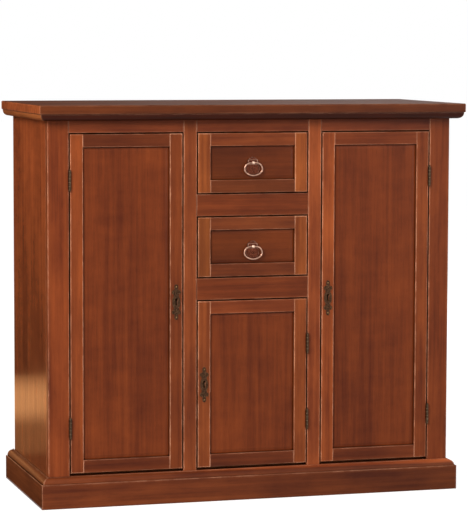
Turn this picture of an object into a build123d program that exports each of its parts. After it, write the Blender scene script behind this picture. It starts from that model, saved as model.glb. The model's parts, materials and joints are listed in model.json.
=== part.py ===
from build123d import *
from math import asin, degrees
import os

os.makedirs("parts", exist_ok=True)

# A floor-standing sideboard in stained solid wood: three equal bays between moulded plinth and top,
# a tall framed door in each outer bay, and two drawers over a short framed door in the middle one.
# Origin at the centre of the footprint on the floor, +Z up, the doors facing -Y. Millimetres.

# Cabinet
carcass_width = 1130.0
carcass_depth = 458.0
carcass_height = 1047.0
side_thickness = 22.0
partition_thickness = 18.0
bottom_thickness = 18.0
back_thickness = 5.0
back_rebate_width = 11.0
edge_round = 2.0

# Top and the moulding under its edge
top_thickness = 24.0
front_overhang = 46.0
side_overhang = 29.0
back_overhang = 20.0
top_round = 3.0
top_lower_round = 3.0
moulding_height = 17.0
moulding_radius = 15.0
moulding_setback = 3.5

# Plinth planted round the foot of the carcass
plinth_thickness = 22.0
plinth_height = 83.0
plinth_face_height = 66.0
plinth_quirk = 4.5
plinth_quirk_depth = 2.5
plinth_fillet = 2.0
plinth_arris = 1.2
foot_rail_thickness = 18.0
corner_block_leg = 60.0
corner_block_lift = 4.0

# Face frame
frame_thickness = 24.0
corner_post_width = 58.0
middle_post_width = 37.0
corner_post_round = 3.0
top_rail_height = 50.0
drawer_opening = 167.0
drawer_rail_height = 59.0
bottom_rail_lift = 20.0
back_lift = 30.0

# Doors and drawer fronts, framed and panelled alike
front_gap = 3.0
door_bottom_gap = 7.0
front_thickness = 22.0
front_proud = 1.0
member_width = 35.0
groove_width = 8.0
groove_depth = 10.0
panel_setback = 8.0
panel_play = 1.0
field_rise = 2.0
field_margin = 11.0
sight_round = 1.5
floor_lap = 4.0

# Butt hinges
hinge_height = 50.0
hinge_from_end = 97.0
leaf_thickness = 1.2
leaf_depth = 18.0
knuckle_radius = 3.4
knuckle_count = 5
knuckle_play = 0.4
knuckle_stand_off = 0.25
pin_radius = 1.5
pin_clearance = 0.05
pin_head_radius = 2.5

# Locks
lock_case_depth = 24.0
lock_case_thickness = 10.0
lock_case_height = 50.0
lock_pocket_depth = 7.0
lock_plate_height = 66.0
lock_plate_width = 14.0
lock_plate_thickness = 1.5
bolt_thickness = 6.0
bolt_height = 12.0
bolt_length = 18.0
bolt_rise = 18.0
bolt_clearance = 0.4
bolt_throw = 8.0
keyhole_radius = 4.5
keyhole_slot_width = 5.5
keyhole_slot_drop = 14.5
keyhole_rise = 6.0
keeper_thickness = 1.2
keeper_width = 14.0
keeper_height = 30.0
keeper_clearance = 1.0

# Escutcheons round the keyholes
escutcheon_thickness = 1.5
shield_half_width = 11.0
shield_half_height = 19.0
scroll_radius = 5.6
scroll_offset = 6.6
scroll_height = 27.0
scroll_eye_radius = 1.8
neck_half_width = 7.0
neck_half_height = 14.0
neck_height = 22.0
finial_half_width = 5.0
finial_half_height = 8.0
finial_height = 40.0
finial_eye_radius = 1.2

# Drawer boxes
drawer_side_thickness = 12.0
drawer_side_height = 130.0
drawer_box_width = 290.0
drawer_box_depth = 380.0
drawer_box_lift = 8.0
drawer_bottom_thickness = 5.0
drawer_bottom_rise = 6.0
drawer_bottom_groove = 5.0
drawer_back_thickness = 12.0
tail_count = 3
tail_width = 27.0
tail_slope = 6.0
slide_tongue_depth = 8.0

# Side-hung drawer runners
runner_height = 12.0
runner_groove_depth = 6.0
runner_clearance = 0.5
runner_setback = 27.0
runner_back_gap = 10.0

# Shelves and their pins
shelf_thickness = 18.0
shelf_play = 1.0
shelf_setback = 15.0
shelf_back_gap = 5.0
side_shelf_count = 2
middle_shelf_count = 1
shelf_pin_radius = 2.5
shelf_pin_length = 16.0
shelf_pin_sink = 8.0
shelf_pin_inset = 45.0

# Drop-ring pulls
plate_thickness = 2.0
plate_radius = 19.0
plate_drop = 16.0
crown_radius = 13.0
crown_rise = 2.0
saddle_width = 28.0
saddle_height = 13.0
saddle_rise = 1.5
saddle_round = 1.5
saddle_thickness = 3.2
boss_reach = 9.0
boss_radius = 3.6
ball_radius = 5.0
ring_wire_radius = 2.2
ring_bore_clearance = 0.06
ring_pin_half_length = 7.25
ring_shoulder_radius = 17.6
ring_side_radius = 11.0
ring_drop = 34.2
stud_radius = 2.0
stud_length = 20.0

# Places worked out from the sizes above
overall_depth = carcass_depth + front_overhang + back_overhang
half_carcass = carcass_width / 2
frame_front = -overall_depth / 2 + front_overhang
frame_back = frame_front + frame_thickness
carcass_back = frame_front + carcass_depth
back_inner = carcass_back - back_thickness
side_inner = half_carcass - side_thickness
bay_width = (carcass_width - 2 * corner_post_width - 2 * middle_post_width) / 3
bay_pitch = bay_width + middle_post_width
partition_offset = bay_pitch / 2
partition_near = partition_offset - partition_thickness / 2
partition_far = partition_offset + partition_thickness / 2
top_opening = carcass_height - top_rail_height
door_bottom = plinth_height + door_bottom_gap
floor_top = door_bottom + floor_lap
floor_bottom = floor_top - bottom_thickness
upper_drawer_floor = top_opening - drawer_opening
lower_drawer_roof = upper_drawer_floor - drawer_rail_height
lower_drawer_floor = lower_drawer_roof - drawer_opening
middle_door_roof = lower_drawer_floor - drawer_rail_height
front_face = frame_front - front_proud
front_back = front_face + front_thickness
panel_front = front_face + panel_setback
groove_back = panel_front + groove_width
field_front = panel_front - field_rise
pin_axis_y = front_face - knuckle_stand_off - knuckle_radius
leaf_back = frame_front + leaf_depth
lock_front = front_face + lock_pocket_depth
bolt_y = lock_front + lock_case_thickness / 2
ring_axis_y = field_front - boss_reach


def block(corner, opposite, mode=Mode.ADD):
    """Box between two opposite corners."""
    low = tuple(min(pair) for pair in zip(corner, opposite))
    size = [abs(far - near) for near, far in zip(corner, opposite)]
    with Locations(low):
        Box(*size, align=(Align.MIN, Align.MIN, Align.MIN), mode=mode)


def ease(start, end, into, down, radius):
    """Round the arris from start to end, which lies between the two faces that run into and down."""
    plane = Plane(origin=start, x_dir=into, z_dir=Vector(into).cross(Vector(down)))
    with BuildSketch(plane) as spandrel:
        with Locations((radius / 2, radius / 2)):
            Rectangle(radius, radius)
        with Locations((radius, radius)):
            Circle(radius, mode=Mode.SUBTRACT)
    run = Vector(end) - Vector(start)
    extrude(spandrel.sketch, amount=run.dot(plane.z_dir), mode=Mode.SUBTRACT)


def write(piece, name):
    """Label a finished piece and write its STEP file."""
    piece.part.label = name
    export_step(piece.part, f"parts/{name}.step")


# Top board, with its upper and lower arrises rounded
with BuildPart() as top_board:
    block(
        (-half_carcass - side_overhang, -overall_depth / 2, carcass_height),
        (half_carcass + side_overhang, overall_depth / 2, carcass_height + top_thickness),
    )
    fillet(top_board.faces().sort_by(Axis.Z)[-1].edges(), radius=top_round)
    fillet(top_board.faces().sort_by(Axis.Z)[0].edges(), radius=top_lower_round)
write(top_board, "top_board")


def top_moulding_section(shift):
    """Quarter-round section under the top, as (distance out from the carcass, height)."""
    out = side_overhang - moulding_setback + shift
    low = carcass_height - moulding_height
    with BuildLine() as outline:
        Polyline(
            (out, low + moulding_radius),
            (out, carcass_height),
            (shift, carcass_height),
            (shift, low),
            (out - moulding_radius, low),
        )
        CenterArc((out - moulding_radius, low + moulding_radius), moulding_radius, -90, 90)
    make_face(outline.line)


def plinth_section(shift):
    """Board with a quarter-round on top behind a sunk quirk, as (distance out from the carcass, height)."""
    radius = plinth_height - plinth_face_height - plinth_fillet
    out = plinth_thickness + shift
    foot = out - plinth_quirk
    with BuildLine() as outline:
        CenterArc((out - plinth_arris, plinth_face_height - plinth_arris), plinth_arris, 0, 90)
        Polyline(
            (out - plinth_arris, plinth_face_height),
            (out - plinth_arris, plinth_face_height - plinth_quirk_depth),
            (foot, plinth_face_height - plinth_quirk_depth),
            (foot, plinth_face_height),
        )
        CenterArc((foot - radius, plinth_face_height), radius, 0, 90)
        Polyline(
            (foot - radius, plinth_face_height + radius),
            (foot - radius, plinth_height),
            (shift, plinth_height),
            (shift, 0),
            (out, 0),
            (out, plinth_face_height - plinth_arris),
        )
    make_face(outline.line)


def front_run(section, shift):
    """Length along the front whose ends are mitred where its inner edge turns the corner."""
    start = half_carcass + front_overhang
    with BuildSketch(Plane(origin=(start, frame_front, 0), x_dir=(0, -1, 0), z_dir=(-1, 0, 0))) as outline:
        section(shift)
    extrude(outline.sketch, amount=2 * start)
    for side in (-1, 1):
        corner = (side * half_carcass, frame_front - shift, 0)
        split(bisect_by=Plane(origin=corner, z_dir=(-side, -1, 0)), keep=Keep.TOP)


def side_runs(section, shift):
    """Lengths along both sides, mitred in front and square behind."""
    start = (-half_carcass, -overall_depth / 2, 0)
    with BuildSketch(Plane(origin=start, x_dir=(-1, 0, 0), z_dir=(0, 1, 0))) as outline:
        section(0)
    extrude(outline.sketch, amount=overall_depth)
    corner = (-half_carcass, frame_front - shift, 0)
    split(bisect_by=Plane(origin=corner, z_dir=(-1, 1, 0)), keep=Keep.TOP)
    mirror(about=Plane.YZ)


# Moulding under the top, in three mitred lengths, the front one widened back to the face frame
moulding_shift = front_overhang - side_overhang
with BuildPart() as top_moulding_front:
    front_run(top_moulding_section, moulding_shift)
    moulding_foot = carcass_height - moulding_height
    block(
        (-half_carcass, frame_front - moulding_shift, moulding_foot),
        (half_carcass, frame_front, carcass_height),
    )
write(top_moulding_front, "top_moulding_front")

with BuildPart() as top_moulding_sides:
    side_runs(top_moulding_section, moulding_shift)
write(top_moulding_sides, "top_moulding_sides")

# Plinth, in three mitred lengths, and the rail that closes its back
with BuildPart() as plinth_front:
    front_run(plinth_section, 0)
write(plinth_front, "plinth_front")

with BuildPart() as plinth_sides:
    side_runs(plinth_section, 0)
write(plinth_sides, "plinth_sides")

with BuildPart() as back_foot_rail:
    block((-side_inner, back_inner - foot_rail_thickness, 0), (side_inner, back_inner, floor_bottom))
write(back_foot_rail, "back_foot_rail")

# Triangular glue blocks in the four inner corners under the bottom board
with BuildPart() as corner_blocks:
    with BuildSketch(Plane.XY.offset(corner_block_lift)):
        for wall, turn in ((frame_back, 1), (back_inner - foot_rail_thickness, -1)):
            with BuildLine():
                Polyline(
                    (-side_inner, wall),
                    (-side_inner + corner_block_leg, wall),
                    (-side_inner, wall + turn * corner_block_leg),
                    close=True,
                )
            make_face()
    extrude(amount=floor_bottom - corner_block_lift)
    mirror(about=Plane.YZ)
write(corner_blocks, "corner_blocks")


def shelf_levels(low, high, count):
    """Undersides of the shelves that share out a space evenly."""
    return [low + (high - low) * (step + 1) / (count + 1) - shelf_thickness / 2 for step in range(count)]


side_shelves = shelf_levels(floor_top, top_opening, side_shelf_count)
middle_shelves = shelf_levels(floor_top, middle_door_roof, middle_shelf_count)
shelf_front = frame_back + shelf_setback
shelf_back = back_inner - shelf_back_gap


def shelf_pegs(wall, undersides, reach, mode=Mode.ADD):
    """Pegs or peg holes reaching along X from a wall, under both ends of every shelf."""
    rows = (shelf_front + shelf_pin_inset, shelf_back - shelf_pin_inset)
    with BuildSketch(Plane.YZ.offset(wall)) as rounds:
        with Locations([(row, level - shelf_pin_radius) for level in undersides for row in rows]):
            Circle(shelf_pin_radius)
    extrude(rounds.sketch, amount=reach, mode=mode)


# Side panels, rebated for the back and bored for the shelf pins
with BuildPart() as side_left:
    block((-half_carcass, frame_back, 0), (-side_inner, carcass_back, carcass_height))
    rebate_foot = (-side_inner - back_rebate_width, back_inner, 0)
    block(rebate_foot, (-side_inner, carcass_back, carcass_height), Mode.SUBTRACT)
    shelf_pegs(-side_inner, side_shelves, -shelf_pin_sink, Mode.SUBTRACT)
write(side_left, "side_left")

with BuildPart() as side_right:
    mirror(side_left.part, about=Plane.YZ)
write(side_right, "side_right")

# Two upright partitions between the bays
with BuildPart() as partitions:
    block((-partition_far, frame_back, floor_top), (-partition_near, back_inner, carcass_height))
    shelf_pegs(-partition_far, side_shelves, shelf_pin_sink, Mode.SUBTRACT)
    shelf_pegs(-partition_near, middle_shelves, -shelf_pin_sink, Mode.SUBTRACT)
    mirror(about=Plane.YZ)
write(partitions, "partitions")

with BuildPart() as bottom_board:
    block((-side_inner, frame_back, floor_bottom), (side_inner, back_inner, floor_top))
write(bottom_board, "bottom_board")

with BuildPart() as back_panel:
    reach = side_inner + back_rebate_width
    block((-reach, back_inner, back_lift), (reach, carcass_back, carcass_height))
write(back_panel, "back_panel")

# Shelves, and the pins that carry them
with BuildPart() as shelves:
    for level in side_shelves:
        block(
            (-side_inner + shelf_play, shelf_front, level),
            (-partition_far - shelf_play, shelf_back, level + shelf_thickness),
        )
    mirror(about=Plane.YZ)
    for level in middle_shelves:
        reach = partition_near - shelf_play
        block((-reach, shelf_front, level), (reach, shelf_back, level + shelf_thickness))
write(shelves, "shelves")

with BuildPart() as shelf_pins:
    shelf_pegs(-side_inner - shelf_pin_sink, side_shelves, shelf_pin_length)
    shelf_pegs(-partition_far + shelf_pin_sink, side_shelves, -shelf_pin_length)
    shelf_pegs(-partition_near - shelf_pin_sink, middle_shelves, shelf_pin_length)
    mirror(about=Plane.YZ)
write(shelf_pins, "shelf_pins")

# Doors: name, middle of the bay, top of the opening, the side that the hinges are on
doors = (
    ("left_door", -bay_pitch, top_opening, -1),
    ("middle_door", 0, middle_door_roof, 1),
    ("right_door", bay_pitch, top_opening, 1),
)
drawers = (("upper_drawer", upper_drawer_floor), ("lower_drawer", lower_drawer_floor))


def keyhole(x, z, face, depth):
    """Keyhole cut back from a face: a round with a slot hanging from it."""
    with BuildSketch(Plane.XZ.offset(-face)) as outline:
        with Locations((x, z)):
            Circle(keyhole_radius)
            Rectangle(keyhole_slot_width, keyhole_slot_drop, align=(Align.CENTER, Align.MAX))
    extrude(outline.sketch, amount=-depth, mode=Mode.SUBTRACT)


def bolt_way(start, end, middle, play, mode=Mode.ADD):
    """The bolt's bar, or a way for it with play all round, from start to end along X."""
    half_thickness = bolt_thickness / 2 + play
    half_height = bolt_height / 2 + play
    level = middle + bolt_rise
    block(
        (start, bolt_y - half_thickness, level - half_height),
        (end, bolt_y + half_thickness, level + half_height),
        mode,
    )


def keeper_plate(post_edge, toward, middle, mode=Mode.ADD):
    """Flat plate let into a post's edge round the bolt's mouth."""
    level = middle + bolt_rise
    block(
        (post_edge, bolt_y - keeper_width / 2, level - keeper_height / 2),
        (post_edge + toward * keeper_thickness, bolt_y + keeper_width / 2, level + keeper_height / 2),
        mode,
    )


def lock_places():
    """For each door, the post's edge beside its lock, the way from door to post, and the lock's height."""
    for _, middle_x, roof, hinge_side in doors:
        middle_z = (door_bottom + roof - front_gap) / 2
        yield middle_x - hinge_side * bay_width / 2, -hinge_side, middle_z


def hinge_places(middle_x, roof, hinge_side):
    """Pin axis and middle height of a door's two hinges."""
    axis_x = middle_x + hinge_side * (bay_width - front_gap) / 2
    inset = hinge_from_end + hinge_height / 2
    return [(axis_x, door_bottom + inset), (axis_x, roof - front_gap - inset)]


# Posts of the face frame
with BuildPart() as corner_posts:
    block((-half_carcass, frame_front, 0), (-half_carcass + corner_post_width, frame_back, carcass_height))
    front_arrises = corner_posts.edges().filter_by(Axis.Z).group_by(Axis.Y)[0].sort_by(Axis.X)
    fillet(front_arrises[0], radius=corner_post_round)
    front_arrises = corner_posts.edges().filter_by(Axis.Z).group_by(Axis.Y)[0].sort_by(Axis.X)
    fillet(front_arrises[-1], radius=edge_round)
    mirror(about=Plane.YZ)
write(corner_posts, "corner_posts")

with BuildPart() as middle_posts:
    block((-bay_width / 2 - middle_post_width, frame_front, 0), (-bay_width / 2, frame_back, carcass_height))
    fillet(middle_posts.edges().filter_by(Axis.Z).group_by(Axis.Y)[0], radius=edge_round)
    mirror(about=Plane.YZ)
    for post_edge, toward, middle in lock_places():
        keeper_plate(post_edge, toward, middle, Mode.SUBTRACT)
        bolt_way(post_edge, post_edge + toward * bolt_throw, middle, keeper_clearance, Mode.SUBTRACT)
write(middle_posts, "middle_posts")

with BuildPart() as lock_keepers:
    for post_edge, toward, middle in lock_places():
        keeper_plate(post_edge, toward, middle)
        bolt_way(post_edge, post_edge + toward * keeper_thickness, middle, keeper_clearance, Mode.SUBTRACT)
write(lock_keepers, "lock_keepers")


def bay_rails(bays, low, high, eased):
    """Rails of the face frame across the named bays, with their showing front arrises rounded."""
    for bay in bays:
        left = bay * bay_pitch - bay_width / 2
        right = left + bay_width
        block((left, frame_front, low), (right, frame_back, high))
        if "bottom" in eased:
            ease((left, frame_front, low), (right, frame_front, low), (0, 1, 0), (0, 0, 1), sight_round)
        if "top" in eased:
            ease((left, frame_front, high), (right, frame_front, high), (0, 1, 0), (0, 0, -1), sight_round)


# Rails of the face frame
with BuildPart() as top_rails:
    bay_rails((-1, 0, 1), top_opening, carcass_height, ("bottom",))
write(top_rails, "top_rails")

with BuildPart() as drawer_rails:
    bay_rails((0,), lower_drawer_roof, upper_drawer_floor, ("bottom", "top"))
    bay_rails((0,), middle_door_roof, lower_drawer_floor, ("bottom", "top"))
write(drawer_rails, "drawer_rails")

with BuildPart() as bottom_rails:
    bay_rails((-1, 0, 1), bottom_rail_lift, plinth_height, ())
write(bottom_rails, "bottom_rails")


def hinge_leaf(axis_x, middle, toward, knuckles, bore_radius):
    """Leaf on the side of the gap that lies toward, with its own share of the knuckles."""
    near = axis_x + toward * (front_gap / 2 - leaf_thickness)
    far = axis_x + toward * front_gap / 2
    low = middle - hinge_height / 2
    pitch = hinge_height / knuckle_count
    shoulder = pin_axis_y + knuckle_radius + knuckle_play
    seat = (Align.CENTER, Align.CENTER, Align.MIN)
    block((near, shoulder, low), (far, leaf_back, low + hinge_height))
    for index in knuckles:
        foot = low + index * pitch + knuckle_play / 2
        head = foot + pitch - knuckle_play
        block((near, pin_axis_y, foot), (far, shoulder, head))
        with Locations((axis_x, pin_axis_y, foot)):
            Cylinder(knuckle_radius, head - foot, align=seat)
            Cylinder(bore_radius, head - foot, align=seat, mode=Mode.SUBTRACT)


# Frame leaves and pins of the six hinges
with BuildPart() as hinge_frame_leaves:
    for _, middle_x, roof, hinge_side in doors:
        for axis_x, middle in hinge_places(middle_x, roof, hinge_side):
            hinge_leaf(axis_x, middle, hinge_side, range(0, knuckle_count, 2), pin_radius)
write(hinge_frame_leaves, "hinge_frame_leaves")

head_lift = (pin_head_radius**2 - pin_radius**2) ** 0.5
with BuildPart() as hinge_pins:
    for _, middle_x, roof, hinge_side in doors:
        for axis_x, middle in hinge_places(middle_x, roof, hinge_side):
            with Locations((axis_x, pin_axis_y, middle)):
                Cylinder(pin_radius, hinge_height)
                with Locations((0, 0, hinge_height / 2 + head_lift), (0, 0, -hinge_height / 2 - head_lift)):
                    Sphere(pin_head_radius)
write(hinge_pins, "hinge_pins")


def front_stiles(left, right, bottom, top):
    """Grooved stiles of a door or drawer front, its outer arrises rounded and its inner ones eased."""
    sights = (left + member_width, right - member_width)
    for outer, sight in zip((left, right), sights):
        block((outer, front_face, bottom), (sight, front_back, top))
    arrises = faces().filter_by(Plane.XZ).group_by(Axis.Y)[0].edges()
    fillet(
        arrises.filter_by(lambda arris: all(abs(arris.center().X - sight) > edge_round for sight in sights)),
        radius=edge_round,
    )
    for sight, outward in zip(sights, (-1, 1)):
        block(
            (sight, panel_front, bottom), (sight + outward * groove_depth, groove_back, top), Mode.SUBTRACT
        )
        low = (sight, front_face, bottom + member_width)
        high = (sight, front_face, top - member_width)
        ease(low, high, (0, 1, 0), (outward, 0, 0), sight_round)


def front_rails(left, right, bottom, top):
    """Grooved rails between the stiles, with stub tenons that fill the stiles' grooves."""
    near = left + member_width
    far = right - member_width
    for edge, sight in ((bottom, bottom + member_width), (top, top - member_width)):
        block((near, front_face, edge), (far, front_back, sight))
    arrises = faces().filter_by(Plane.XZ).group_by(Axis.Y)[0].edges().filter_by(Axis.X).sort_by(Axis.Z)
    fillet([arrises[0], arrises[-1]], radius=edge_round)
    for edge, upward in ((bottom, 1), (top, -1)):
        sight = edge + upward * member_width
        block((near - groove_depth, panel_front, edge), (far + groove_depth, groove_back, sight))
        block(
            (near - groove_depth, panel_front, sight),
            (far + groove_depth, groove_back, sight - upward * groove_depth),
            Mode.SUBTRACT,
        )
        ease((near, front_face, sight), (far, front_face, sight), (0, 1, 0), (0, 0, -upward), sight_round)


def front_panel(left, right, bottom, top):
    """Loose panel whose edges ride in the grooves, with a shallow bevelled field."""
    width = right - left - 2 * member_width
    height = top - bottom - 2 * member_width
    middle = ((left + right) / 2, (bottom + top) / 2)
    tongue = groove_depth - panel_play
    with BuildSketch(Plane.XZ.offset(-groove_back)) as board:
        with Locations(middle):
            Rectangle(width + 2 * tongue, height + 2 * tongue)
    extrude(board.sketch, amount=groove_width)
    with BuildSketch(Plane.XZ.offset(-panel_front)) as bevel_foot:
        with Locations(middle):
            Rectangle(width, height)
    with BuildSketch(Plane.XZ.offset(-field_front)) as field:
        with Locations(middle):
            Rectangle(width - 2 * field_margin, height - 2 * field_margin)
    loft([bevel_foot.sketch.face(), field.sketch.face()])


def escutcheon_outline():
    """Long shield with a pair of scrolls and a finial at each end, drawn round its keyhole."""
    Ellipse(shield_half_width, shield_half_height)
    for way in (-1, 1):
        with Locations((0, way * neck_height)):
            Ellipse(neck_half_width, neck_half_height)
        with Locations((0, way * finial_height)):
            Ellipse(finial_half_width, finial_half_height)
        with Locations((-scroll_offset, way * scroll_height), (scroll_offset, way * scroll_height)):
            Circle(scroll_radius)
            Circle(scroll_eye_radius, mode=Mode.SUBTRACT)
        with Locations((0, way * (finial_height + finial_eye_radius))):
            Circle(finial_eye_radius, mode=Mode.SUBTRACT)


for name, middle_x, roof, hinge_side in doors:
    half_width = bay_width / 2 - front_gap
    outline = (middle_x - half_width, middle_x + half_width, door_bottom, roof - front_gap)
    lock_edge = middle_x - hinge_side * half_width
    lock_middle = (door_bottom + roof - front_gap) / 2
    keyhole_x = lock_edge + hinge_side * member_width / 2
    keyhole_z = lock_middle + keyhole_rise
    case_end = lock_edge + hinge_side * lock_case_depth
    case = (
        (lock_edge, lock_front, lock_middle - lock_case_height / 2),
        (case_end, lock_front + lock_case_thickness, lock_middle + lock_case_height / 2),
    )
    plate_inside = lock_edge + hinge_side * lock_plate_thickness
    plate = (
        (lock_edge, bolt_y - lock_plate_width / 2, lock_middle - lock_plate_height / 2),
        (plate_inside, bolt_y + lock_plate_width / 2, lock_middle + lock_plate_height / 2),
    )

    with BuildPart() as stiles:
        front_stiles(*outline)
        block(*case, Mode.SUBTRACT)
        block(*plate, Mode.SUBTRACT)
        keyhole(keyhole_x, keyhole_z, front_face, lock_pocket_depth)
    write(stiles, f"{name}_stiles")

    with BuildPart() as rails:
        front_rails(*outline)
    write(rails, f"{name}_rails")

    with BuildPart() as panel:
        front_panel(*outline)
    write(panel, f"{name}_panel")

    with BuildPart() as leaves:
        for axis_x, middle in hinge_places(middle_x, roof, hinge_side):
            hinge_leaf(axis_x, middle, -hinge_side, range(1, knuckle_count, 2), pin_radius + pin_clearance)
    write(leaves, f"{name}_hinge_leaves")

    with BuildPart() as lock_case:
        block(*case)
        block(*plate)
        way_end = lock_edge + hinge_side * (bolt_length + 2 * bolt_clearance)
        bolt_way(lock_edge, way_end, lock_middle, bolt_clearance, Mode.SUBTRACT)
        keyhole(keyhole_x, keyhole_z, lock_front, lock_case_thickness)
    write(lock_case, f"{name}_lock_case")

    with BuildPart() as bolt:
        nose = lock_edge + hinge_side * bolt_clearance
        bolt_way(nose, nose + hinge_side * bolt_length, lock_middle, 0)
    write(bolt, f"{name}_lock_bolt")

    with BuildPart() as escutcheon:
        with BuildSketch(Plane.XZ.offset(-front_face)):
            with Locations((keyhole_x, lock_middle)):
                escutcheon_outline()
        extrude(amount=escutcheon_thickness)
        keyhole(keyhole_x, keyhole_z, front_face - escutcheon_thickness, escutcheon_thickness)
    write(escutcheon, f"{name}_escutcheon")


# Runners screwed to the partitions, one on each side of each drawer
box_edge = drawer_box_width / 2
runner_front = frame_back + runner_setback
runner_back = back_inner - runner_back_gap
with BuildPart() as drawer_runners:
    for _, floor in drawers:
        middle = floor + front_gap + drawer_box_lift + drawer_side_height / 2
        block(
            (-partition_near, runner_front, middle - runner_height / 2),
            (-box_edge + runner_groove_depth - runner_clearance, runner_back, middle + runner_height / 2),
        )
    mirror(about=Plane.YZ)
write(drawer_runners, "drawer_runners")


def tongue_outline(edge, inward):
    """Plan of the dovetailed tongue at the front of a drawer side, whose outer face is at edge."""
    root_inset = slide_tongue_depth / tail_slope
    far = edge + inward * drawer_side_thickness
    with BuildLine() as outline:
        Polyline(
            (edge, front_back - slide_tongue_depth),
            (edge + inward * root_inset, front_back),
            (far - inward * root_inset, front_back),
            (far, front_back - slide_tongue_depth),
            close=True,
        )
    make_face(outline.line)


def tongue(foot, head, mode=Mode.ADD):
    """Sliding dovetails at the front of both drawer sides, or the sockets for them."""
    with BuildSketch(Plane.XY.offset(foot)) as plan:
        tongue_outline(-box_edge, 1)
        tongue_outline(box_edge, -1)
    extrude(plan.sketch, amount=head - foot, mode=mode)


def tails(box_back, foot, mode=Mode.ADD):
    """Through dovetails at the back of both drawer sides, or the sockets for them in the back."""
    pitch = drawer_side_height / tail_count
    shoulder = box_back - drawer_back_thickness
    root_inset = drawer_back_thickness / tail_slope
    for edge, inward in ((-box_edge, 1), (box_edge, -1)):
        with BuildSketch(Plane.YZ.offset(edge)) as elevation:
            for index in range(tail_count):
                middle = foot + (index + 0.5) * pitch
                with BuildLine():
                    Polyline(
                        (shoulder, middle - tail_width / 2 + root_inset),
                        (box_back, middle - tail_width / 2),
                        (box_back, middle + tail_width / 2),
                        (shoulder, middle + tail_width / 2 - root_inset),
                        close=True,
                    )
                make_face()
        extrude(elevation.sketch, amount=inward * drawer_side_thickness, mode=mode)


def bottom_groove(front, back, low, mode):
    """The drawer's bottom, or the grooves that it slides into."""
    reach = box_edge - drawer_side_thickness + drawer_bottom_groove
    block((-reach, front, low), (reach, back, low + drawer_bottom_thickness), mode)


def ring_path(middle):
    """Flat-topped oval from tangent arcs, hanging from the pin that turns in the boss."""
    overhang = ring_pin_half_length + ring_shoulder_radius - ring_side_radius
    rise = ring_drop - ring_shoulder_radius - ring_side_radius
    excess = (overhang**2 + rise**2) / (2 * rise)
    turn = degrees(asin((excess - rise) / excess))
    steps = (
        (ring_shoulder_radius, 90),
        (ring_side_radius, turn),
        (ring_side_radius + excess, 180 - 2 * turn),
        (ring_side_radius, turn),
        (ring_shoulder_radius, 90),
    )
    piece = Line((-ring_pin_half_length, middle), (ring_pin_half_length, middle))
    for radius, angle in steps:
        piece = JernArc(start=piece @ 1, tangent=piece % 1, radius=radius, arc_size=-angle)


for name, floor in drawers:
    half_width = bay_width / 2 - front_gap
    outline = (-half_width, half_width, floor + front_gap, floor + drawer_opening - front_gap)
    foot = outline[2] + drawer_box_lift
    head = foot + drawer_side_height
    box_back = front_back + drawer_box_depth
    bottom_low = foot + drawer_bottom_rise
    bottom_front = front_back - drawer_bottom_groove
    pull_middle = (outline[2] + outline[3]) / 2

    with BuildPart() as stiles:
        front_stiles(*outline)
        tongue(outline[2], head, Mode.SUBTRACT)
        bottom_groove(bottom_front, front_back, bottom_low, Mode.SUBTRACT)
    write(stiles, f"{name}_front_stiles")

    with BuildPart() as rails:
        front_rails(*outline)
        bottom_groove(bottom_front, front_back, bottom_low, Mode.SUBTRACT)
    write(rails, f"{name}_front_rails")

    with BuildPart() as panel:
        front_panel(*outline)
        with Locations(Location((0, groove_back, pull_middle), (90, 0, 0))):
            Cylinder(stud_radius, stud_length, mode=Mode.SUBTRACT)
    write(panel, f"{name}_front_panel")

    with BuildPart() as sides:
        for side in (-1, 1):
            block(
                (side * box_edge, front_back, foot),
                (side * (box_edge - drawer_side_thickness), box_back - drawer_back_thickness, head),
            )
        tongue(foot, head)
        tails(box_back, foot)
        bottom_groove(front_back - slide_tongue_depth, box_back, bottom_low, Mode.SUBTRACT)
        middle = (foot + head) / 2
        half_height = runner_height / 2 + runner_clearance
        for side in (-1, 1):
            block(
                (side * box_edge, runner_front - runner_clearance, middle - half_height),
                (side * (box_edge - runner_groove_depth), box_back, middle + half_height),
                Mode.SUBTRACT,
            )
    write(sides, f"{name}_sides")

    with BuildPart() as back:
        block(
            (-box_edge, box_back - drawer_back_thickness, bottom_low + drawer_bottom_thickness),
            (box_edge, box_back, head),
        )
        tails(box_back, foot, Mode.SUBTRACT)
    write(back, f"{name}_back")

    with BuildPart() as bottom:
        bottom_groove(bottom_front, box_back, bottom_low, Mode.ADD)
    write(bottom, f"{name}_bottom")

    with BuildPart() as pull_plate:
        with BuildSketch(Plane.XZ.offset(-field_front)):
            with Locations((0, pull_middle - plate_drop)):
                Circle(plate_radius)
            with Locations((0, pull_middle + crown_rise)):
                Circle(crown_radius)
        extrude(amount=plate_thickness)
        with BuildSketch(Plane.XZ.offset(-field_front)):
            with Locations((0, pull_middle + saddle_rise)):
                RectangleRounded(saddle_width, saddle_height, saddle_round)
        extrude(amount=saddle_thickness)
        with BuildSketch(Plane.XZ.offset(-field_front)):
            with Locations((0, pull_middle)):
                Circle(boss_radius)
        extrude(amount=boss_reach)
        with Locations((0, ring_axis_y, pull_middle)):
            Sphere(ball_radius, rotation=(90, 0, 0))
            bore_radius = ring_wire_radius + ring_bore_clearance
            Cylinder(bore_radius, 3 * ball_radius, rotation=(0, 90, 0), mode=Mode.SUBTRACT)
        with BuildSketch(Plane.XZ.offset(-field_front)):
            with Locations((0, pull_middle)):
                Circle(stud_radius)
        extrude(amount=-stud_length)
    write(pull_plate, f"{name}_pull_plate")

    with BuildPart() as pull_ring:
        with BuildLine(Plane.XZ.offset(-ring_axis_y)):
            ring_path(pull_middle)
        with BuildSketch(Plane(origin=(0, ring_axis_y, pull_middle), z_dir=(1, 0, 0))):
            Circle(ring_wire_radius)
        sweep()
    write(pull_ring, f"{name}_pull_ring")
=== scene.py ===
import json
import math

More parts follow.
